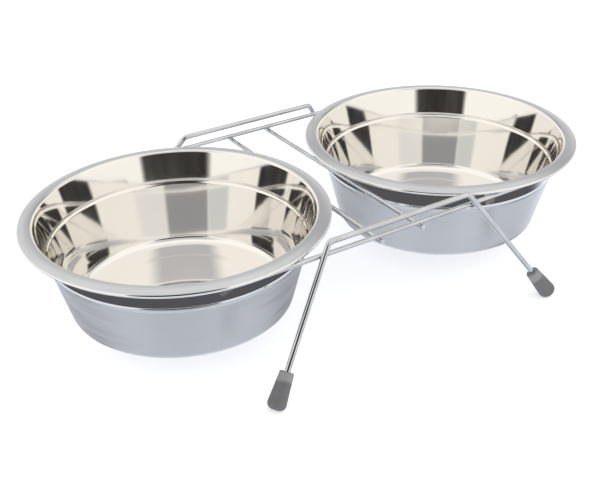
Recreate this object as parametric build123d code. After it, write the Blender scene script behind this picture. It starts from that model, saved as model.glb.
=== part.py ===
from build123d import *
import os
from math import cos, hypot, radians, tan

# Double pet bowl: two pressed steel bowls that lie in a low welded wire stand.
# Millimetres, +X along the pair of bowls, +Y to the back, +Z up, origin on the floor in the middle.

# Bowl: heights are counted from the middle of the rim's folded edge
rim_diameter = 230.0
rim_width = 10.4
rim_shoulder = 5.5
rim_crown = 2.5
rim_top_fall = 0.2
rim_edge_fall = 1.45
rim_fold = 2.0
rim_drop = 2.4
lip_width = 10.0
sheet = 0.7
neck_taper = 16.5
wall_taper = 14.3
bead_drop = 22.2
bead_height = 1.6
bead_stand = 0.4
ledge_width = 1.4
ledge_fall = 2.4
bowl_depth = 73.4
floor_rise = 0.7
floor_edge = 24.4
floor_step_width = 5.0

# Bends of the sheet, as radii of its middle line
floor_bend = 15.0
base_bend = 7.0
ledge_bend = 1.6
bead_bend = 2.4
neck_bend = 1.2
rim_inner_bend = 2.5
rim_shoulder_bend = 15.0
rim_fold_bend = 1.0

# Stand
rim_height = 91.5
rim_gap = 21.4
rail_wire = 3.6
rail_inset = 7.7
seat_gap = 0.3
leg_wire = 4.2
weld_sink = 0.15
bar_length = 126.4
bar_rise = 9.4
bar_bend = 5.0
leg_spread = 35.0
leg_lean = 18.5
cross_wire_gap = 3.3
cross_wire_end = 1.6

# Rubber feet
foot_top_diameter = 10.2
foot_bottom_diameter = 14.2
foot_length = 27.0
foot_floor = 6.0
foot_top_edge = 0.8
foot_bottom_edge = 4.5
foot_flat = 0.6
foot_bore_gap = 0.05

# Places that several pieces share
rim_radius = rim_diameter / 2
bowl_offset = (rim_diameter + rim_gap) / 2
rail_radius = rim_radius - rail_inset
rail_height = rim_height - rim_drop - seat_gap - rail_wire / 2
bar_height = rail_height + bar_rise
lean_slope = tan(radians(leg_lean))
spread_slope = tan(radians(leg_spread))
weld_distance = (leg_wire + rail_wire) / 2 - weld_sink
bar_offset = rail_radius + weld_distance / cos(radians(leg_lean)) - bar_rise * lean_slope
leg_direction = Vector(spread_slope, lean_slope, -1).normalized()
leg_drop = -leg_direction.Z
leg_reach = Vector(leg_direction.X, leg_direction.Y, 0).length


def neck_radius(height):
    """Radius of the neck's middle line at a height counted from the rim's edge."""
    top = rim_crown - sheet / 2
    return rim_radius - rim_width - (top - height) * tan(radians(neck_taper))


def bowl_section():
    """Half section of the pressed sheet, from the middle of the base to the end of the folded rim."""
    half = sheet / 2
    slope = tan(radians(wall_taper))
    base = half - bowl_depth
    crest = rim_crown - half
    shoulder = crest - rim_top_fall
    fold_top = shoulder - rim_edge_fall
    edge = rim_radius - half
    neck_end = bead_height - bead_drop
    bead_radius = neck_radius(neck_end) + bead_stand
    ledge_radius = bead_radius - ledge_width
    ledge_end = -bead_drop - ledge_fall
    base_radius = ledge_radius - (ledge_end - base) * slope
    floor_step = base_radius - floor_edge
    corners = [
        (-floor_bend, base + floor_rise),
        (floor_step - floor_step_width / 2, base + floor_rise),
        (floor_step + floor_step_width / 2, base),
        (base_radius, base),
        (ledge_radius, ledge_end),
        (bead_radius, -bead_drop),
        (neck_radius(neck_end), neck_end),
        (rim_radius - rim_width, crest),
        (rim_radius - rim_shoulder, shoulder),
        (edge, fold_top),
        (edge, fold_top - rim_fold),
        (rim_radius - lip_width, half - rim_drop),
    ]
    bends = [
        floor_bend,
        floor_bend,
        base_bend,
        ledge_bend,
        bead_bend,
        neck_bend,
        rim_inner_bend,
        rim_shoulder_bend,
        rim_fold_bend,
        rim_fold_bend,
    ]
    middle_line = FilletPolyline(*corners, radius=bends)
    band = make_face(offset(middle_line, amount=half, side=Side.BOTH).edges())
    right_half = Pos(rim_radius, -bowl_depth / 2) * Rectangle(rim_diameter, 2 * bowl_depth)
    return band & right_half


def bowl(side):
    """One bowl, resting in the stand: side is -1 for the left one and 1 for the right one."""
    pressing = revolve(Plane.XZ * bowl_section(), axis=Axis.Z)
    return Pos(side * bowl_offset, 0, rim_height) * pressing


def wire(path, diameter):
    """Round wire along a path."""
    start = Plane(path @ 0, z_dir=path % 0)
    return sweep(start * Circle(diameter / 2), path=path)


def support_rail():
    """Closed loop under both rims: two straight sides and a half circle around each bowl."""
    outline = SlotCenterToCenter(2 * bowl_offset, 2 * rail_radius)
    loop = Pos(0, 0, rail_height) * outline.wire()
    return wire(loop, rail_wire)


def leg_axis_length():
    """Length of a leg from the bar's corner to the middle of its foot's end face."""
    cone = (foot_bottom_diameter - foot_top_diameter) / 2 / foot_length
    edge_radius = foot_bottom_diameter / 2 - foot_bottom_edge * (cone + hypot(1, cone))
    edge_height = foot_bottom_edge - foot_flat + edge_radius * leg_reach
    return foot_bottom_edge + (bar_height - edge_height) / leg_drop


def leg_point(distance, side, end):
    """Point on a leg's axis, at a distance from the bar's corner."""
    corner = Vector(bar_length / 2, bar_offset, bar_height)
    point = corner + leg_direction * distance
    return Vector(side * point.X, end * point.Y, point.Z)


def leg_frame(end):
    """Bar and two legs, bent from one wire: end is -1 for the front one and 1 for the back one."""
    wire_end = leg_axis_length() - foot_floor
    path = FilletPolyline(
        leg_point(wire_end, -1, end),
        leg_point(0, -1, end),
        leg_point(0, 1, end),
        leg_point(wire_end, 1, end),
        radius=bar_bend,
    )
    return wire(path, leg_wire)


def cross_wire(side):
    """Straight wire welded under the rail, beside the neck of one bowl."""
    height = rail_height - rail_wire + weld_sink
    neck = neck_radius(height - rim_height) + sheet / 2 / cos(radians(neck_taper))
    place = bowl_offset - neck - cross_wire_gap - rail_wire / 2
    length = 2 * (rail_radius + rail_wire / 2 + cross_wire_end)
    rod = Rot(90, 0, 0) * Cylinder(rail_wire / 2, length)
    return Pos(side * place, 0, height) * rod


def foot_section():
    """Half section of a foot with its end face at height 0 and its axis along Y."""
    top = foot_top_diameter / 2
    bottom = foot_bottom_diameter / 2
    bore = leg_wire / 2 + foot_bore_gap
    outside = Polyline((0, 0), (bottom, 0), (top, foot_length), (0, foot_length), close=True)
    profile = make_face(outside)
    bottom_corner = profile.vertices().filter_by(lambda corner: corner.X > 0).sort_by(Axis.Y)[0]
    profile = fillet(bottom_corner, foot_bottom_edge)
    top_corner = profile.vertices().filter_by(lambda corner: corner.X > 0).sort_by(Axis.Y)[-1]
    profile = fillet(top_corner, foot_top_edge)
    depth = foot_length - foot_floor
    return profile - Pos(bore / 2, foot_length - depth / 2) * Rectangle(bore, depth)


def foot(side, end):
    """Rubber cap on the end of one leg, flat where it stands on the floor."""
    tip = leg_point(leg_axis_length(), side, end)
    knee = leg_point(0, side, end)
    cap = revolve(Plane.XZ * foot_section(), axis=Axis.Z)
    cap = Plane(tip, z_dir=knee - tip) * cap
    return split(cap, bisect_by=Plane.XY, keep=Keep.TOP)


sides = {"left": -1, "right": 1}
ends = {"front": -1, "back": 1}

parts = {"support_rail": support_rail()}
for side_name, side in sides.items():
    parts[f"{side_name}_bowl"] = bowl(side)
    parts[f"{side_name}_cross_wire"] = cross_wire(side)
for end_name, end in ends.items():
    parts[f"{end_name}_leg_frame"] = leg_frame(end)
    for side_name, side in sides.items():
        parts[f"{end_name}_{side_name}_foot"] = foot(side, end)

os.makedirs("parts", exist_ok=True)
for name, shape in parts.items():
    export_step(shape, f"parts/{name}.step")
    print(name, round(shape.volume, 1))
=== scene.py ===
from math import acos, ceil, cos, pi, radians, sin, tan

import bpy
from mathutils import Matrix, Vector


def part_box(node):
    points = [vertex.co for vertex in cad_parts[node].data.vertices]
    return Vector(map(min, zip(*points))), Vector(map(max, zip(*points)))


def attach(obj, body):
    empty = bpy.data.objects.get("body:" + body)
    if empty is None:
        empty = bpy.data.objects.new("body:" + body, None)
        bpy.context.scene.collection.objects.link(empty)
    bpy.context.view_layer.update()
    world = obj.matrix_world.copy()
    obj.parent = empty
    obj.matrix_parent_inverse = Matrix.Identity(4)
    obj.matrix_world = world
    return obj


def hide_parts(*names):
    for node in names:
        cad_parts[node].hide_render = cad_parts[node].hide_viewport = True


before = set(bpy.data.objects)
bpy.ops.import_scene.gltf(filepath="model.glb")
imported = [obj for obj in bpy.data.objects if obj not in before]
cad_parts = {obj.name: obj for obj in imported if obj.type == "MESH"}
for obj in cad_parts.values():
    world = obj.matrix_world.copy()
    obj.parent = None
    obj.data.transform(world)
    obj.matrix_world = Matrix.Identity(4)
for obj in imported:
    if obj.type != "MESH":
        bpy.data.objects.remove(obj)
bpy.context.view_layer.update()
mm = 0.001
sides = {"left": -1, "right": 1}
ends = {"front": -1, "back": 1}


# small helpers for node trees and objects

def setSockets(tree, node, sockets):
    for key, value in sockets.items():
        if isinstance(value, bpy.types.NodeSocket):
            tree.links.new(value, node.inputs[key])
        else:
            node.inputs[key].default_value = value


def addNode(tree, kind, sockets=None, **settings):
    made = tree.nodes.new(kind)
    for name, value in settings.items():
        setattr(made, name, value)
    setSockets(tree, made, sockets or {})
    return made


def maths(tree, operation, *values):
    sockets = dict(enumerate(values))
    return addNode(tree, "ShaderNodeMath", sockets, operation=operation).outputs[0]


def vectorMaths(tree, operation, *values):
    sockets = dict(enumerate(values))
    return addNode(tree, "ShaderNodeVectorMath", sockets, operation=operation).outputs[0]


def newTree(name, inputs):
    tree = bpy.data.node_groups.new(name, "GeometryNodeTree")
    tree.interface.new_socket("Geometry", in_out="INPUT", socket_type="NodeSocketGeometry")
    tree.interface.new_socket("Geometry", in_out="OUTPUT", socket_type="NodeSocketGeometry")
    for label, kind in inputs.items():
        tree.interface.new_socket(label, in_out="INPUT", socket_type="NodeSocket" + kind)
    return tree, tree.nodes.new("NodeGroupInput").outputs


def endTree(tree, geometry, material):
    real = addNode(tree, "GeometryNodeRealizeInstances", {"Geometry": geometry})
    painted = addNode(tree, "GeometryNodeSetMaterial", {
        "Geometry": real.outputs[0],
        "Material": material,
    })
    out = tree.nodes.new("NodeGroupOutput")
    tree.links.new(painted.outputs[0], out.inputs[0])


def addObject(name, data):
    made = bpy.data.objects.new(name, data)
    bpy.context.scene.collection.objects.link(made)
    return made


def polyline(name, points, closed=False, attributes=None):
    mesh = bpy.data.meshes.new(name)
    links = [(i, i + 1) for i in range(len(points) - 1)]
    if closed:
        links.append((len(points) - 1, 0))
    mesh.from_pydata(points, links, [])
    for label, values in (attributes or {}).items():
        mesh.attributes.new(label, "FLOAT", "POINT").data.foreach_set("value", values)
    return addObject(name, mesh)


def grow(piece, tree, values):
    # runs the tree on the piece's own points and keeps the result as a plain mesh
    modifier = piece.modifiers.new("shape", "NODES")
    modifier.node_group = tree
    for item in tree.interface.items_tree:
        if item.in_out == "INPUT" and item.name in values:
            modifier[item.identifier] = values[item.name]
    graph = bpy.context.evaluated_depsgraph_get()
    mesh = bpy.data.meshes.new_from_object(piece.evaluated_get(graph), depsgraph=graph)
    piece.modifiers.remove(modifier)
    start = piece.data
    piece.data = mesh
    bpy.data.meshes.remove(start)
    mesh.name = piece.name


# round section turned about an axis: bowls and feet

seamGap = 0.001 * mm  # points closer than this become one, at the seam and the poles


def turnedTree():
    tree, given = newTree("turnedSection", {
        "Segments": "Int",
        "Path radius": "Float",
        "Place": "Vector",
        "Turn": "Rotation",
        "Floor": "Float",
        "Material": "Material",
    })
    section = addNode(tree, "GeometryNodeMeshToCurve", {"Mesh": given["Geometry"]})
    circle = addNode(tree, "GeometryNodeCurvePrimitiveCircle", {
        "Resolution": given["Segments"],
        "Radius": given["Path radius"],
    })
    path = addNode(tree, "GeometryNodeSetCurveNormal", {"Curve": circle.outputs["Curve"]}, mode="Z_UP")
    skin = addNode(tree, "GeometryNodeCurveToMesh", {
        "Curve": path.outputs[0],
        "Profile Curve": section.outputs[0],
    })
    closed = addNode(tree, "GeometryNodeMergeByDistance", {
        "Geometry": skin.outputs[0],
        "Distance": seamGap,
    })
    placed = addNode(tree, "GeometryNodeTransform", {
        "Geometry": closed.outputs[0],
        "Translation": given["Place"],
        "Rotation": given["Turn"],
    })
    # whatever would reach through the floor is pressed flat on it
    where = tree.nodes.new("GeometryNodeInputPosition")
    parts = addNode(tree, "ShaderNodeSeparateXYZ", {0: where.outputs[0]}).outputs
    lifted = maths(tree, "MAXIMUM", parts[2], given["Floor"])
    flat = addNode(tree, "ShaderNodeCombineXYZ", {0: parts[0], 1: parts[1], 2: lifted})
    standing = addNode(tree, "GeometryNodeSetPosition", {
        "Geometry": placed.outputs[0],
        "Position": flat.outputs[0],
    })
    smooth = addNode(tree, "GeometryNodeSetShadeSmooth", {"Geometry": standing.outputs[0]})
    endTree(tree, smooth.outputs[0], given["Material"])
    return tree


def roundedLine(corners, bends, step):
    # straight runs joined by arcs; a close point at both ends of a run keeps its shading flat
    spots = [Vector(corner) for corner in corners]
    line = [spots[0]]

    def runTo(end):
        start = line[-1]
        length = (end - start).length
        along = (end - start) / length
        if length > 3 * step["edge"]:
            inner = length - 2 * step["edge"]
            count = max(1, round(inner / step["run"]))
            for i in range(count + 1):
                line.append(start + along * (step["edge"] + inner * i / count))
        line.append(end)

    for before, corner, after, bend in zip(spots, spots[1:], spots[2:], bends):
        back = (before - corner).normalized()
        ahead = (after - corner).normalized()
        half = acos(max(-1, min(1, back.dot(ahead)))) / 2
        first = corner + back * bend / tan(half)
        centre = corner + (back + ahead).normalized() * bend / sin(half)
        spoke = first - centre
        turn = (pi - 2 * half) * (1 if back.cross(ahead) < 0 else -1)
        count = max(3, ceil(abs(turn) / radians(step["arc"])))
        runTo(first)
        for i in range(1, count + 1):
            line.append(centre + Matrix.Rotation(turn * i / count, 2) @ spoke)
    runTo(spots[-1])
    return line


def sideLine(line, distance):
    # the line moved sideways, to its left for a distance above 0
    moved = []
    for i, spot in enumerate(line):
        ahead = (line[min(i + 1, len(line) - 1)] - spot).normalized()
        back = (spot - line[max(i - 1, 0)]).normalized()
        along = (ahead + back).normalized()
        moved.append(spot + Vector((-along.y, along.x)) * distance)
    return moved


# the bowls: sizes in mm, heights counted from the middle of the rim's folded edge

bowlLow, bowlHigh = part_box("right_bowl")
bowl = {
    "centre": (bowlLow.x + bowlHigh.x) / 2 / mm,
    "rimRadius": (bowlHigh.x - bowlLow.x) / 2 / mm,
    "base": bowlLow.z / mm,
    "depth": 73.4,
    "sheet": 0.7,
    "wallTaper": 14.3,
    "rimWidth": 10.4,
    "rimShoulder": 5.5,
    "rimCrown": 2.5,
    "rimTopFall": 0.2,
    "rimEdgeFall": 1.45,
    "rimFold": 2.0,
    "rimDrop": 2.4,
    "lipWidth": 10.0,
    "neckTaper": 16.5,
    "floorRise": 0.7,
    "floorEdge": 24.4,
    "floorStepWidth": 5.0,
    "beadDrop": 22.2,
    "beadHeight": 1.6,
    "beadStand": 0.4,
    "ledgeWidth": 1.4,
    "ledgeFall": 2.4,
    "bends": [15.0, 15.0, 7.0, 1.6, 2.4, 1.2, 2.5, 15.0, 1.0, 1.0],  # from the floor to the fold
    "step": {"arc": 6.0, "run": 7.0, "edge": 0.25},  # degrees, mm, mm
    "segments": 192,
    "rimSatinAcross": (-0.2, 1.0),  # satin sets in here, outwards from the rim's inner edge
    "rimSatinHeight": (0.45, 0.9),
    "bodySatinRise": 0.7,  # the satin starts this share of the bead's height above its lower corner
    "bodySatinFade": 0.6,
}


def bowlLine():
    half = bowl["sheet"] / 2
    slope = tan(radians(bowl["wallTaper"]))
    base = half - bowl["depth"]
    crest = bowl["rimCrown"] - half
    shoulder = crest - bowl["rimTopFall"]
    foldTop = shoulder - bowl["rimEdgeFall"]
    edge = bowl["rimRadius"] - half
    neckTop = bowl["rimRadius"] - bowl["rimWidth"]
    neckEnd = bowl["beadHeight"] - bowl["beadDrop"]
    neckRadius = neckTop - (crest - neckEnd) * tan(radians(bowl["neckTaper"]))
    beadRadius = neckRadius + bowl["beadStand"]
    ledgeRadius = beadRadius - bowl["ledgeWidth"]
    ledgeEnd = -bowl["beadDrop"] - bowl["ledgeFall"]
    baseRadius = ledgeRadius - (ledgeEnd - base) * slope
    floorStep = baseRadius - bowl["floorEdge"]
    floorTop = base + bowl["floorRise"]
    corners = [
        (0, floorTop),
        (floorStep - bowl["floorStepWidth"] / 2, floorTop),
        (floorStep + bowl["floorStepWidth"] / 2, base),
        (baseRadius, base),
        (ledgeRadius, ledgeEnd),
        (beadRadius, -bowl["beadDrop"]),
        (neckRadius, neckEnd),
        (neckTop, crest),
        (bowl["rimRadius"] - bowl["rimShoulder"], shoulder),
        (edge, foldTop),
        (edge, foldTop - bowl["rimFold"]),
        (bowl["rimRadius"] - bowl["lipWidth"], half - bowl["rimDrop"]),
    ]
    return roundedLine(corners, bowl["bends"], bowl["step"])


def ease(value, low, high):
    share = max(0.0, min(1.0, (value - low) / (high - low)))
    return share * share * (3 - 2 * share)


def bowlZones(inside, outside):
    # satin on the rim's top and on the body from the bead down, polished elsewhere
    rimStart = bowl["rimRadius"] - bowl["rimWidth"]
    across = [rimStart + reach for reach in bowl["rimSatinAcross"]]
    rim = [ease(p.x, *across) * ease(p.y, *bowl["rimSatinHeight"]) for p in inside]
    rim += [0.0] * len(outside)
    bodyStart = bowl["beadDrop"] - bowl["bodySatinRise"] * bowl["beadHeight"]
    body = [0.0] * len(inside)
    body += [ease(-p.y, bodyStart, bodyStart + bowl["bodySatinFade"]) for p in outside]
    return rim, body


def buildBowl(name, side, tree, material):
    half = bowl["sheet"] / 2
    line = bowlLine()
    inside = sideLine(line, half)
    outside = sideLine(line, -half)[::-1]
    inside[0].x = outside[-1].x = 0
    chain = inside + outside
    rim, body = bowlZones(inside, outside)
    along = [0.0]
    for before, after in zip(chain, chain[1:]):
        along.append(along[-1] + (after - before).length * mm)
    pathRadius = bowl["rimRadius"] / 2
    lift = bowl["base"] + bowl["depth"]
    points = [((p.x - pathRadius) * mm, -(p.y + lift) * mm, 0) for p in chain]
    piece = polyline(name, points, attributes={"along": along, "rimSatin": rim, "bodySatin": body})
    grow(piece, tree, {
        "Segments": bowl["segments"],
        "Path radius": pathRadius * mm,
        "Place": (side * bowl["centre"] * mm, 0, 0),
        "Floor": 0.0,
        "Material": material,
    })
    return piece


# the stand: bent wires, sizes in mm

railLow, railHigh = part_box("support_rail")
crossLow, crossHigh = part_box("right_cross_wire")
barLow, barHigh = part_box("front_leg_frame")
rail = {
    "wire": (railHigh.z - railLow.z) / mm,
    "height": (railHigh.z + railLow.z) / 2 / mm,
    "halfWidth": (railHigh.y - railLow.y - railHigh.z + railLow.z) / 2 / mm,
    "halfLength": (railHigh.x - railLow.x - railHigh.z + railLow.z) / 2 / mm,
    "bendSteps": 48,
    "sides": 40,
}
crossWire = {
    "wire": (crossHigh.z - crossLow.z) / mm,
    "place": (crossHigh.x + crossLow.x) / 2 / mm,
    "height": (crossHigh.z + crossLow.z) / 2 / mm,
    "halfLength": crossHigh.y / mm,
    "bendSteps": 1,
    "sides": 40,
}
legs = {
    "wire": 4.2,
    "barLength": 126.4,
    "bend": 5.0,
    "bendSteps": 12,
    "spread": 35.0,
    "lean": 18.5,
    "sides": 40,
}
crispAngle = 0.7  # radians: edges sharper than this, at the cut ends, stay crisp


def wireTree():
    tree, given = newTree("bentWire", {
        "Wire radius": "Float",
        "Bend radius": "Float",
        "Bend steps": "Int",
        "Sides": "Int",
        "Material": "Material",
    })
    line = addNode(tree, "GeometryNodeMeshToCurve", {"Mesh": given["Geometry"]})
    bent = addNode(tree, "GeometryNodeFilletCurve", {
        "Curve": line.outputs[0],
        "Count": given["Bend steps"],
        "Radius": given["Bend radius"],
        "Limit Radius": True,
    }, mode="POLY")
    ring = addNode(tree, "GeometryNodeCurvePrimitiveCircle", {
        "Resolution": given["Sides"],
        "Radius": given["Wire radius"],
    })
    skin = addNode(tree, "GeometryNodeCurveToMesh", {
        "Curve": bent.outputs[0],
        "Profile Curve": ring.outputs["Curve"],
        "Fill Caps": True,
    })
    smooth = addNode(tree, "GeometryNodeSetShadeSmooth", {"Geometry": skin.outputs[0]})
    angle = tree.nodes.new("GeometryNodeInputMeshEdgeAngle")
    steep = addNode(tree, "FunctionNodeCompare", {
        0: angle.outputs[0],
        1: crispAngle,
    }, operation="GREATER_THAN")
    crisp = addNode(tree, "GeometryNodeSetShadeSmooth", {
        "Geometry": smooth.outputs[0],
        "Selection": steep.outputs[0],
        "Shade Smooth": False,
    }, domain="EDGE")
    endTree(tree, crisp.outputs[0], given["Material"])
    return tree


def legDirection():
    return Vector((tan(radians(legs["spread"])), tan(radians(legs["lean"])), -1)).normalized()


def legPoint(distance, side, end):
    # on a leg's axis, at a distance from the bar's corner
    corner = Vector((
        legs["barLength"] / 2,
        legs["wire"] / 2 - barHigh.y / mm,
        barHigh.z / mm - legs["wire"] / 2,
    ))
    point = corner + legDirection() * distance
    return Vector((side * point.x, end * point.y, point.z))


def legLength():
    # along the leg's axis, from the bar's corner to the cut end of the wire
    down = -legDirection().z
    across = (1 - down * down) ** 0.5
    endHeight = barLow.z / mm + legs["wire"] / 2 * across
    return (legPoint(0, 1, 1).z - endHeight) / down


def buildWire(name, points, sizes, bend, tree, material, closed=False):
    piece = polyline(name, [Vector(p) * mm for p in points], closed)
    grow(piece, tree, {
        "Wire radius": sizes["wire"] / 2 * mm,
        "Bend radius": bend * mm,
        "Bend steps": sizes["bendSteps"],
        "Sides": sizes["sides"],
        "Material": material,
    })
    return piece


def buildRail(tree, material):
    x, y, z = rail["halfLength"], rail["halfWidth"], rail["height"]
    loop = [(x, -y, z), (x, y, z), (-x, y, z), (-x, -y, z)]
    return buildWire("supportRail", loop, rail, y, tree, material, closed=True)


def buildLegFrame(name, end, tree, material):
    reach = legLength()
    stops = [(reach, -1), (0, -1), (0, 1), (reach, 1)]
    line = [legPoint(distance, side, end) for distance, side in stops]
    return buildWire(name, line, legs, legs["bend"], tree, material)


def buildCrossWire(name, side, tree, material):
    x, y, z = side * crossWire["place"], crossWire["halfLength"], crossWire["height"]
    return buildWire(name, [(x, -y, z), (x, y, z)], crossWire, 0, tree, material)


# small weld beads where the wires cross, sizes in mm

weld = {
    "width": 1.7,
    "thickness": 0.75,
    "jitter": 0.15,
    "seed": 7,
    "subdivisions": 4,
}


def weldTree():
    tree, given = newTree("weldBeads", {
        "Width": "Float",
        "Thickness": "Float",
        "Jitter": "Float",
        "Seed": "Int",
        "Material": "Material",
    })
    ball = addNode(tree, "GeometryNodeMeshIcoSphere", {
        "Radius": 1.0,  # the scale below gives each bead its size
        "Subdivisions": weld["subdivisions"],
    })
    facing = addNode(tree, "GeometryNodeInputNamedAttribute", {
        "Name": "facing",
    }, data_type="FLOAT_VECTOR")
    turned = addNode(tree, "FunctionNodeAlignRotationToVector", {
        "Vector": facing.outputs[0],
    }, axis="Z")
    luck = addNode(tree, "FunctionNodeRandomValue", {
        "Min": maths(tree, "SUBTRACT", 1.0, given["Jitter"]),
        "Max": maths(tree, "ADD", 1.0, given["Jitter"]),
        "Seed": given["Seed"],
    }, data_type="FLOAT")
    size = addNode(tree, "ShaderNodeCombineXYZ", {
        0: maths(tree, "MULTIPLY", given["Width"], luck.outputs[1]),
        1: given["Width"],
        2: given["Thickness"],
    })
    beads = addNode(tree, "GeometryNodeInstanceOnPoints", {
        "Points": given["Geometry"],
        "Instance": ball.outputs[0],
        "Rotation": turned.outputs[0],
        "Scale": size.outputs[0],
    })
    smooth = addNode(tree, "GeometryNodeSetShadeSmooth", {"Geometry": beads.outputs[0]})
    endTree(tree, smooth.outputs[0], given["Material"])
    return tree


def legWeld(side, end):
    # where the leg's axis passes closest to the rail
    toRail = Vector((0, -end * rail["halfWidth"], -rail["height"]))
    axis = legPoint(1, side, end) - legPoint(0, side, end)
    corner = legPoint(0, side, end)
    away = Vector((0, corner.y, corner.z)) + toRail
    slope = Vector((0, axis.y, axis.z))
    closest = -away.dot(slope) / slope.length_squared
    facing = (away + slope * closest).normalized()
    spot = Vector((corner.x + axis.x * closest, end * rail["halfWidth"], rail["height"]))
    return spot + facing * rail["wire"] / 2, facing


def crossWeld(side, end):
    # under the rail, where a cross wire ends
    low = rail["height"] - rail["wire"] / 2
    return Vector((side * crossWire["place"], end * rail["halfWidth"], low)), Vector((0, 0, 1))


def buildWelds(tree, material):
    spots = []
    for side in sides.values():
        for end in ends.values():
            spots.append(legWeld(side, end))
            spots.append(crossWeld(side, end))
    mesh = bpy.data.meshes.new("weldBeads")
    mesh.from_pydata([spot * mm for spot, facing in spots], [], [])
    facings = mesh.attributes.new("facing", "FLOAT_VECTOR", "POINT")
    for entry, (spot, facing) in zip(facings.data, spots):
        entry.vector = facing
    piece = addObject("weldBeads", mesh)
    grow(piece, tree, {
        "Width": weld["width"] * mm,
        "Thickness": weld["thickness"] * mm,
        "Jitter": weld["jitter"],
        "Seed": weld["seed"],
        "Material": material,
    })
    return piece


# the rubber feet, drawn from the end face up, sizes in mm

foot = {
    "topDiameter": 10.2,
    "bottomDiameter": 14.2,
    "length": 27.0,
    "floor": 6.0,
    "topEdge": 0.8,
    "bottomEdge": 4.5,
    "boreGap": 0.05,
    "boreEdge": 0.2,
    "step": {"arc": 6.0, "run": 2.0, "edge": 0.2},  # degrees, mm, mm
    "segments": 64,
}


def footLine():
    bore = legs["wire"] / 2 + foot["boreGap"]
    corners = [
        (0, 0),
        (foot["bottomDiameter"] / 2, 0),
        (foot["topDiameter"] / 2, foot["length"]),
        (bore, foot["length"]),
        (bore, foot["floor"]),
        (0, foot["floor"]),
    ]
    bends = [foot["bottomEdge"], foot["topEdge"], foot["boreEdge"], foot["boreEdge"]]
    return roundedLine(corners, bends, foot["step"])


def buildFoot(name, side, end, tree, material):
    line = footLine()
    line[0].x = line[-1].x = 0
    pathRadius = foot["bottomDiameter"] / 4
    points = [((p.x - pathRadius) * mm, -p.y * mm, 0) for p in line]
    piece = polyline(name, points, attributes={"height": [p.y * mm for p in line]})
    tip = legPoint(legLength() + foot["floor"], side, end)
    upward = legPoint(0, side, end) - tip
    grow(piece, tree, {
        "Segments": foot["segments"],
        "Path radius": pathRadius * mm,
        "Place": tip * mm,
        "Turn": upward.to_track_quat("Z", "Y").to_euler(),
        "Floor": 0.0,
        "Material": material,
    })
    return piece


# finishes

noiseRange = (0.25, 0.75)  # where most values of a noise lie


def newFinish(name):
    material = bpy.data.materials.new(name)
    material.use_nodes = True
    tree = material.node_tree
    return material, tree, tree.nodes["Principled BSDF"]


def objectPlace(tree):
    return tree.nodes.new("ShaderNodeTexCoord").outputs["Object"]


def noise(tree, vector, scale, detail, roughness=0.5):
    return addNode(tree, "ShaderNodeTexNoise", {
        "Vector": vector,
        "Scale": scale,
        "Detail": detail,
        "Roughness": roughness,
    }).outputs["Fac"]


def spread(tree, value, low, high):
    # a noise value moved to the range low to high
    return addNode(tree, "ShaderNodeMapRange", {
        "Value": value,
        "From Min": noiseRange[0],
        "From Max": noiseRange[1],
        "To Min": low,
        "To Max": high,
    }).outputs[0]


def blend(tree, factor, first, second):
    sockets = {"Factor": factor, 2: first, 3: second}
    return addNode(tree, "ShaderNodeMix", sockets, data_type="FLOAT").outputs[0]


def blendColour(tree, factor, first, second):
    sockets = {"Factor": factor}
    for key, colour in {6: first, 7: second}.items():
        sockets[key] = colour if isinstance(colour, bpy.types.NodeSocket) else (*colour, 1)
    return addNode(tree, "ShaderNodeMix", sockets, data_type="RGBA").outputs[2]


def raised(tree, height, distance, below=None):
    sockets = {"Height": height, "Distance": distance * mm}
    if below:
        sockets["Normal"] = below
    return addNode(tree, "ShaderNodeBump", sockets).outputs[0]


def attribute(tree, name):
    return addNode(tree, "ShaderNodeAttribute", attribute_name=name).outputs["Fac"]


steel = {
    "polished": (0.90, 0.885, 0.86),
    "dull": (0.855, 0.84, 0.82),
    "dullShare": 0.6,
    "rim": (0.615, 0.635, 0.68),
    "body": (0.80, 0.81, 0.84),
    "polishedRoughness": (0.035, 0.065),
    "rimRoughness": (0.33, 0.41),
    "bodyRoughness": (0.34, 0.44),
    "linesPerMetre": 2400.0,
    "bandsPerMetre": 240.0,
    "bandShare": (0.7, 1.0),
    "marksRound": 2.4,  # higher makes the marks round the bowl shorter
    "hazeScale": 11.0,
    "waveScale": 34.0,
    "waveHeight": 0.05,
    "lineHeight": 0.004,
    "polishedLines": 0.08,  # share of the line height that is left where it is polished
    "anisotropy": 0.65,
    "anisotropyTurn": 0.25,
}


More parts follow.
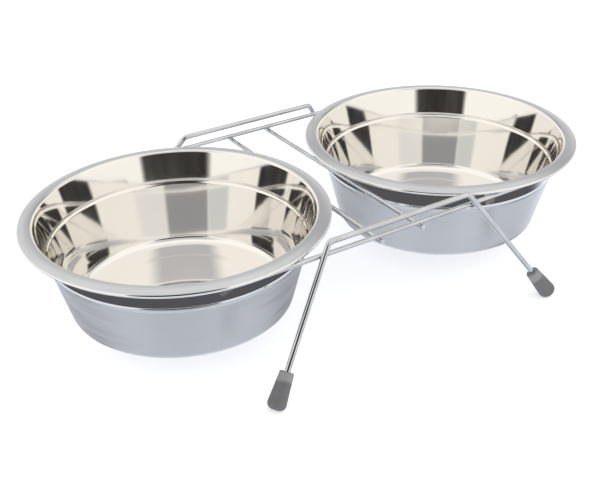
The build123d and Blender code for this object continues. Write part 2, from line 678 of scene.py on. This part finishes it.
def steelFinish(name, side):
    material, tree, shader = newFinish(name)
    centred = addNode(tree, "ShaderNodeMapping", {
        "Vector": objectPlace(tree),
        "Location": (-side * bowl["centre"] * mm, 0, 0),
    }).outputs[0]
    flat = vectorMaths(tree, "MULTIPLY", centred, (1, 1, 0))
    around = vectorMaths(tree, "NORMALIZE", flat)
    turn = addNode(tree, "ShaderNodeSeparateXYZ", {0: around}).outputs
    along = attribute(tree, "along")
    rim = attribute(tree, "rimSatin")
    body = attribute(tree, "bodySatin")

    def ringNoise(perMetre, detail):
        # long marks round the bowl, close together along its section
        step = maths(tree, "MULTIPLY", along, perMetre)
        spot = addNode(tree, "ShaderNodeCombineXYZ", {0: step, 1: turn[0], 2: turn[1]}).outputs[0]
        stretch = (1, steel["marksRound"], steel["marksRound"])
        return noise(tree, vectorMaths(tree, "MULTIPLY", spot, stretch), 1.0, detail)

    lines = ringNoise(steel["linesPerMetre"], 2.0)
    bands = ringNoise(steel["bandsPerMetre"], 3.0)
    waves = noise(tree, centred, steel["waveScale"], 1.0)
    haze = noise(tree, centred, steel["hazeScale"], 4.0, 0.6)

    dull = spread(tree, haze, 0.0, steel["dullShare"])
    polished = blendColour(tree, dull, steel["polished"], steel["dull"])
    satin = maths(tree, "MAXIMUM", rim, body)
    marked = maths(tree, "MULTIPLY", satin, spread(tree, bands, *steel["bandShare"]))
    satinColour = blendColour(tree, body, steel["rim"], steel["body"])

    polishedRoughness = spread(tree, haze, *steel["polishedRoughness"])
    rimRoughness = spread(tree, bands, *steel["rimRoughness"])
    bodyRoughness = spread(tree, bands, *steel["bodyRoughness"])
    withRim = blend(tree, rim, polishedRoughness, rimRoughness)

    wavy = raised(tree, waves, steel["waveHeight"])
    depth = addNode(tree, "ShaderNodeMapRange", {
        "Value": satin,
        "To Min": steel["polishedLines"],
        "To Max": 1.0,
    }).outputs[0]
    cut = maths(tree, "MULTIPLY", lines, depth)
    setSockets(tree, shader, {
        "Base Color": blendColour(tree, marked, polished, satinColour),
        "Roughness": blend(tree, body, withRim, bodyRoughness),
        "Normal": raised(tree, cut, steel["lineHeight"], wavy),
        "Metallic": 1.0,
        "Anisotropic": steel["anisotropy"],
        "Anisotropic Rotation": steel["anisotropyTurn"],
    })
    return material


chrome = {
    "bright": (0.70, 0.71, 0.73),
    "grey": (0.54, 0.55, 0.575),
    "roughness": (0.045, 0.085),
    "patchScale": 60.0,
    "drawScale": 420.0,
    "drawHeight": 0.003,
}


def chromeFinish():
    material, tree, shader = newFinish("brightWire")
    place = objectPlace(tree)
    patches = noise(tree, place, chrome["patchScale"], 3.0)
    grain = noise(tree, place, chrome["drawScale"], 2.0)
    greyed = spread(tree, patches, 0.0, 1.0)
    setSockets(tree, shader, {
        "Base Color": blendColour(tree, greyed, chrome["bright"], chrome["grey"]),
        "Roughness": spread(tree, patches, *chrome["roughness"]),
        "Normal": raised(tree, grain, chrome["drawHeight"]),
        "Metallic": 1.0,
    })
    return material


weldMetal = {
    "dark": (0.62, 0.615, 0.61),
    "bright": (0.78, 0.78, 0.785),
    "roughness": (0.16, 0.34),
    "rippleScale": 1500.0,
    "rippleHeight": 0.08,
}


def weldFinish():
    material, tree, shader = newFinish("weldMetal")
    ripple = noise(tree, objectPlace(tree), weldMetal["rippleScale"], 3.0, 0.6)
    brightened = spread(tree, ripple, 0.0, 1.0)
    setSockets(tree, shader, {
        "Base Color": blendColour(tree, brightened, weldMetal["dark"], weldMetal["bright"]),
        "Roughness": spread(tree, ripple, *weldMetal["roughness"]),
        "Normal": raised(tree, ripple, weldMetal["rippleHeight"]),
        "Metallic": 1.0,
    })
    return material


rubber = {
    "body": (0.125, 0.126, 0.137),
    "patch": (0.16, 0.161, 0.173),
    "topTint": (0.36, 0.36, 0.38),
    "topTintShare": 0.6,
    "topTintBand": (8.0, 5.0),  # mm below the top, where the lighter grey starts and where it is full
    "topTintWander": 1.2,
    "roughness": (0.40, 0.55),
    "patchScale": 130.0,
    "grainScale": 2600.0,
    "grainHeight": 0.02,
}


def rubberFinish():
    material, tree, shader = newFinish("capRubber")
    place = objectPlace(tree)
    patches = noise(tree, place, rubber["patchScale"], 4.0, 0.6)
    grain = noise(tree, place, rubber["grainScale"], 2.0)
    wander = rubber["topTintWander"] * mm
    # the top of each cap is a lighter grey, fading in over a band below it whose lower edge wanders
    # with the patches
    uneven = maths(tree, "ADD", attribute(tree, "height"), spread(tree, patches, -wander, wander))
    tintStart, tintFull = [(foot["length"] - drop) * mm for drop in rubber["topTintBand"]]
    band = addNode(tree, "ShaderNodeMapRange", {
        "Value": uneven,
        "From Min": tintStart,
        "From Max": tintFull,
        "To Max": rubber["topTintShare"],
    }, interpolation_type="SMOOTHSTEP").outputs[0]
    patched = spread(tree, patches, 0.0, 1.0)
    plain = blendColour(tree, patched, rubber["body"], rubber["patch"])
    setSockets(tree, shader, {
        "Base Color": blendColour(tree, band, plain, rubber["topTint"]),
        "Roughness": spread(tree, patches, *rubber["roughness"]),
        "Normal": raised(tree, grain, rubber["grainHeight"]),
    })
    return material


# directions round the object in degrees: azimuth 0 is the front and 90 the right side

def towards(azimuth, elevation):
    turn, rise = radians(azimuth), radians(elevation)
    return Vector((sin(turn) * cos(rise), -cos(turn) * cos(rise), sin(rise)))


# camera at the photograph's angle, for an image of 600 by 500

view = {
    "place": (-0.385996, -0.577332, 0.42365),
    "azimuth": -32.516,
    "elevation": 30.339,
    "roll": -0.982,
    "focalPixels": 959.12,
    "imageWidth": 600,
    "sensorWidth": 36.0,
    "clipStart": 0.01,
}


def placeCamera():
    lens = bpy.data.cameras.new("camera")
    lens.sensor_fit = "HORIZONTAL"
    lens.sensor_width = view["sensorWidth"]
    lens.lens = view["focalPixels"] * view["sensorWidth"] / view["imageWidth"]
    lens.clip_start = view["clipStart"]
    camera = addObject("camera", lens)
    ahead = -towards(view["azimuth"], view["elevation"])
    roll = Matrix.Rotation(radians(view["roll"]), 3, "Z")
    turn = ahead.to_track_quat("-Z", "Y").to_matrix() @ roll
    camera.matrix_world = Matrix.Translation(view["place"]) @ turn.to_4x4()
    bpy.context.scene.camera = camera


# the stage: floor, the dark opening round the camera, and the room

def addCard(name, corners):
    mesh = bpy.data.meshes.new(name)
    mesh.from_pydata(corners, [], [(0, 1, 2, 3)])
    return addObject(name, mesh)


ground = {
    "halfSize": 4.0,
    "drop": 0.2,  # mm below the feet
    "colour": (0.87, 0.89, 0.92),
    "roughness": 0.9,
    "glow": 0.48,
}


def buildFloor():
    half = ground["halfSize"]
    low = -ground["drop"] * mm
    corners = [(-half, -half, low), (half, -half, low), (half, half, low), (-half, half, low)]
    floor = addCard("floor", corners)
    material, tree, shader = newFinish("paleFloor")
    setSockets(tree, shader, {
        "Base Color": (*ground["colour"], 1),
        "Roughness": ground["roughness"],
        "Emission Color": (1, 1, 1, 1),
        "Emission Strength": ground["glow"],
    })
    floor.data.materials.append(material)
    floor.visible_glossy = False  # in the steel, the room's lower half stands for it


opening = {
    "width": 0.83,
    "aside": -0.0125,
    "low": -0.25,
    "high": 0.68,
    "soft": 0.25,
    "squareness": 4.0,  # 2 is an oval, and higher is squarer
    "dark": (0.022, 0.019, 0.017),
    "clutter": (0.075, 0.072, 0.07),
    "clutterScale": 2.2,
}


def openingFinish():
    material = bpy.data.materials.new("openingDark")
    material.use_nodes = True
    tree = material.node_tree
    tree.nodes.clear()
    spot = addNode(tree, "ShaderNodeUVMap", uv_map="card").outputs[0]
    parts = addNode(tree, "ShaderNodeSeparateXYZ", {0: spot}).outputs
    across, upward = [
        maths(tree, "POWER", maths(tree, "ABSOLUTE", part), opening["squareness"])
        for part in parts[:2]
    ]
    cover = addNode(tree, "ShaderNodeMapRange", {
        "Value": maths(tree, "ADD", across, upward),
        "From Min": 1.0,
        "From Max": (1 - opening["soft"]) ** opening["squareness"],
    }, interpolation_type="SMOOTHSTEP").outputs[0]
    clutter = spread(tree, noise(tree, spot, opening["clutterScale"], 2.0), 0.0, 1.0)
    shaded = addNode(tree, "ShaderNodeEmission", {
        "Color": blendColour(tree, clutter, opening["dark"], opening["clutter"]),
    })
    clear = tree.nodes.new("ShaderNodeBsdfTransparent")
    mixed = addNode(tree, "ShaderNodeMixShader", {0: cover, 1: clear.outputs[0], 2: shaded.outputs[0]})
    out = tree.nodes.new("ShaderNodeOutputMaterial")
    tree.links.new(mixed.outputs[0], out.inputs[0])
    return material


def buildOpening():
    # an upright card through the camera's place, which only reflections show
    place = Vector(view["place"])
    along = Vector((-place.y, place.x, 0)).normalized()
    middle = place + along * opening["aside"]
    across = along * opening["width"] / 2
    low = Vector((middle.x, middle.y, opening["low"]))
    high = Vector((middle.x, middle.y, opening["high"]))
    card = addCard("openingCard", [low - across, low + across, high + across, high - across])
    spots = card.data.uv_layers.new(name="card").data
    for spot, corner in zip(spots, [(-1, -1), (1, -1), (1, 1), (-1, 1)]):
        spot.uv = corner
    card.data.materials.append(openingFinish())
    card.visible_camera = False
    card.visible_diffuse = False
    card.visible_shadow = False


room = {
    "strength": 1.10,
    "shades": [  # from straight down to straight up
        (-90, (0.86, 0.90, 0.97)),
        (-35, (0.86, 0.90, 0.97)),
        (-3, (0.80, 0.83, 0.88)),
        (3, (0.95, 0.92, 0.86)),
        (35, (0.99, 0.96, 0.90)),
        (90, (1.0, 0.985, 0.96)),
    ],
    "panels": {
        "backHaze": {"at": (-165, 30), "size": (60, 12), "soft": 8, "colour": (0.82, 0.81, 0.79)},
        "backWall": {"at": (135, 30), "size": (76, 18), "soft": 4, "colour": (0.33, 0.33, 0.34)},
        "backSide": {"at": (79, 30), "size": (36, 18), "soft": 5, "colour": (0.67, 0.68, 0.67)},
        "openingTop": {"at": (-31, 53), "size": (84, 30), "soft": 12, "colour": (0.54, 0.54, 0.56)},
    },
    "groundRing": {  # a dark ring round a direction that points down
        "at": (147, -78),
        "inside": 31,
        "outside": 47,
        "soft": 2,
        "colour": (0.085, 0.085, 0.095),
    },
    "backdrop": (1, 1, 1),
    "bounces": 24,
    "glossyBounces": 16,
}


def roomShade(tree):
    # the room's colour in every direction
    direction = tree.nodes.new("ShaderNodeTexCoord").outputs["Generated"]
    axes = addNode(tree, "ShaderNodeSeparateXYZ", {0: direction}).outputs
    azimuth = maths(tree, "ARCTAN2", axes[0], maths(tree, "MULTIPLY", axes[1], -1.0))
    elevation = maths(tree, "ARCSINE", axes[2])

    level = addNode(tree, "ShaderNodeMapRange", {
        "Value": elevation,
        "From Min": -pi / 2,
        "From Max": pi / 2,
    }).outputs[0]
    ramp = addNode(tree, "ShaderNodeValToRGB", {0: level})
    stops = ramp.color_ramp.elements
    while len(stops) < len(room["shades"]):
        stops.new(0.5)
    for stop, (angle, colour) in zip(stops, room["shades"]):
        stop.position = (angle + 90) / 180
        stop.color = (*colour, 1)
    shade = ramp.outputs[0]

    def within(value, middle, size, soft):
        # 1 where the value is at most half the size from the middle, fading over twice the soft angle
        away = maths(tree, "ABSOLUTE", maths(tree, "SUBTRACT", value, radians(middle)))
        return addNode(tree, "ShaderNodeMapRange", {
            "Value": away,
            "From Min": radians(size / 2 + soft),
            "From Max": radians(size / 2 - soft),
        }, interpolation_type="SMOOTHSTEP").outputs[0]

    for panel in room["panels"].values():
        aside = maths(tree, "WRAP", maths(tree, "SUBTRACT", azimuth, radians(panel["at"][0])), pi, -pi)
        cover = maths(
            tree,
            "MULTIPLY",
            within(aside, 0, panel["size"][0], panel["soft"]),
            within(elevation, panel["at"][1], panel["size"][1], panel["soft"]),
        )
        shade = blendColour(tree, cover, shade, panel["colour"])

    ring = room["groundRing"]
    nearness = addNode(tree, "ShaderNodeVectorMath", {
        0: direction,
        1: towards(*ring["at"]),
    }, operation="DOT_PRODUCT").outputs["Value"]
    apart = maths(tree, "ARCCOSINE", nearness)
    middle = (ring["inside"] + ring["outside"]) / 2
    cover = within(apart, middle, ring["outside"] - ring["inside"], ring["soft"])
    return blendColour(tree, cover, shade, ring["colour"])


def lightRoom():
    scene = bpy.context.scene
    world = bpy.data.worlds.new("studio")
    scene.world = world
    world.use_nodes = True
    tree = world.node_tree
    tree.nodes.clear()
    lit = addNode(tree, "ShaderNodeBackground", {
        "Color": roomShade(tree),
        "Strength": room["strength"],
    })
    backdrop = addNode(tree, "ShaderNodeBackground", {"Color": (*room["backdrop"], 1)})
    path = tree.nodes.new("ShaderNodeLightPath")
    seen = addNode(tree, "ShaderNodeMixShader", {
        0: path.outputs["Is Camera Ray"],
        1: lit.outputs[0],
        2: backdrop.outputs[0],
    })
    out = tree.nodes.new("ShaderNodeOutputWorld")
    tree.links.new(seen.outputs[0], out.inputs[0])
    scene.view_settings.view_transform = "Standard"
    scene.cycles.max_bounces = room["bounces"]
    scene.cycles.glossy_bounces = room["glossyBounces"]


turned = turnedTree()
bent = wireTree()
wireFinish = chromeFinish()
capFinish = rubberFinish()

for sideName, side in sides.items():
    made = buildBowl(sideName + "Bowl", side, turned, steelFinish(sideName + "Steel", side))
    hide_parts(sideName + "_bowl")
    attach(made, sideName + "_bowl")
    made = buildCrossWire(sideName + "CrossWire", side, bent, wireFinish)
    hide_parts(sideName + "_cross_wire")
    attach(made, "stand")
print("bowls and cross wires made")

made = buildRail(bent, wireFinish)
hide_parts("support_rail")
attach(made, "stand")
for endName, end in ends.items():
    made = buildLegFrame(endName + "LegFrame", end, bent, wireFinish)
    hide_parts(endName + "_leg_frame")
    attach(made, "stand")
    for sideName, side in sides.items():
        made = buildFoot(f"{endName}{sideName.title()}Foot", side, end, turned, capFinish)
        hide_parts(f"{endName}_{sideName}_foot")
        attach(made, "stand")
made = buildWelds(weldTree(), weldFinish())
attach(made, "stand")
print("stand and feet made")

placeCamera()
buildFloor()
buildOpening()
lightRoom()
print("stage set")
